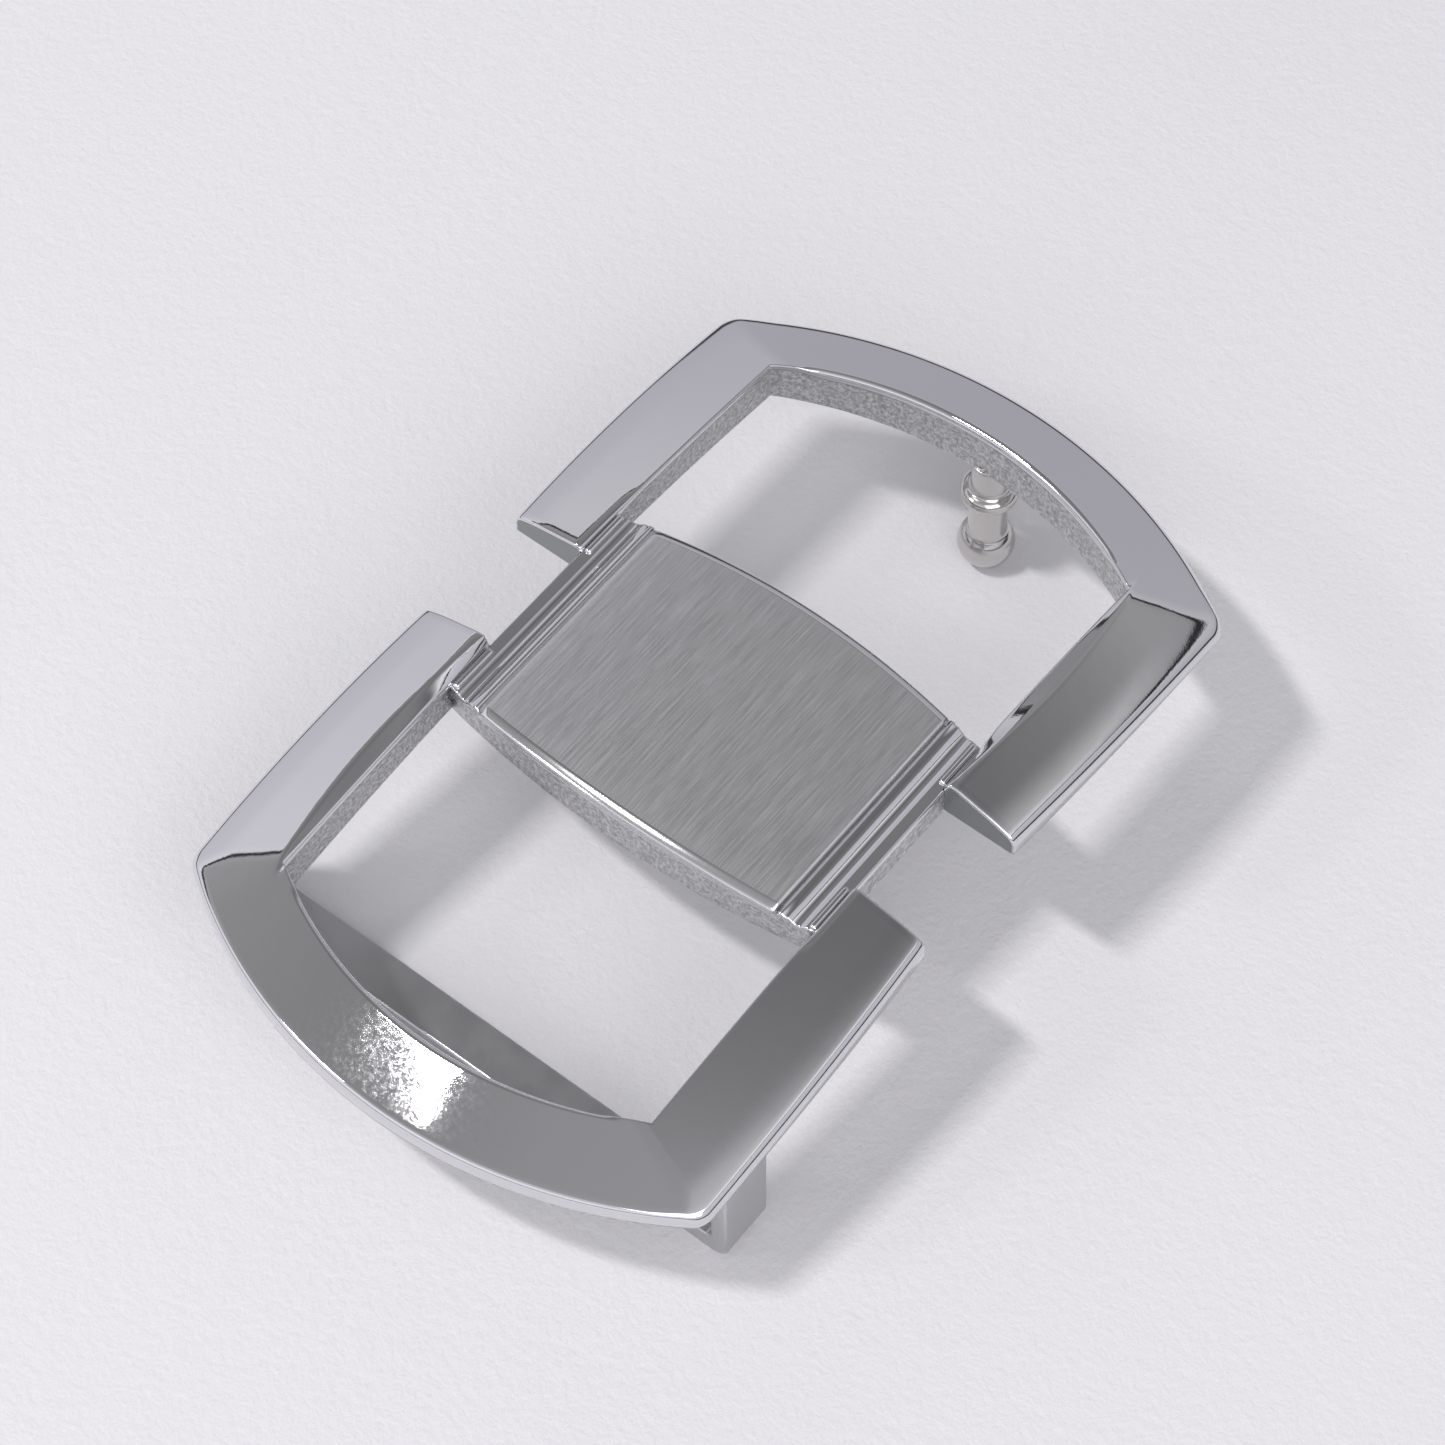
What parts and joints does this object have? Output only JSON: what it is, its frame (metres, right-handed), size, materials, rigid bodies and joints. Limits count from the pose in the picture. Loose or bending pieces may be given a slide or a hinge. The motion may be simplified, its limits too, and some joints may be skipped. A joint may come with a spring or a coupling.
{
  "type": "belt buckle",
  "caption": "Double-D dress belt buckle with a satin centre panel, a fixed strap loop under one end and a turned stud under the other.",
  "frame": {"origin": "under the middle of the buckle, level with the tip of the stud", "axes": "+X along the belt towards the stud, +Y across the belt, +Z out of the buckle's face"},
  "size_m": [0.0738, 0.0454, 0.0188],
  "materials": {
    "polished_steel": "mirror polished, with as-cast inner walls",
    "satin_steel": "satin brushed along the belt",
    "loop_steel": "semi-gloss satin",
    "turned_steel": "lathe-turned satin"
  },
  "bodies": {
    "root": {"stud_end_frame": "polished_steel", "loop_end_frame": "polished_steel", "centre_plate": "polished_steel", "satin_panel": "satin_steel", "joint_beads": "polished_steel", "belt_loop": "loop_steel", "belt_stud": "turned_steel"}
  },
  "joints": []
}
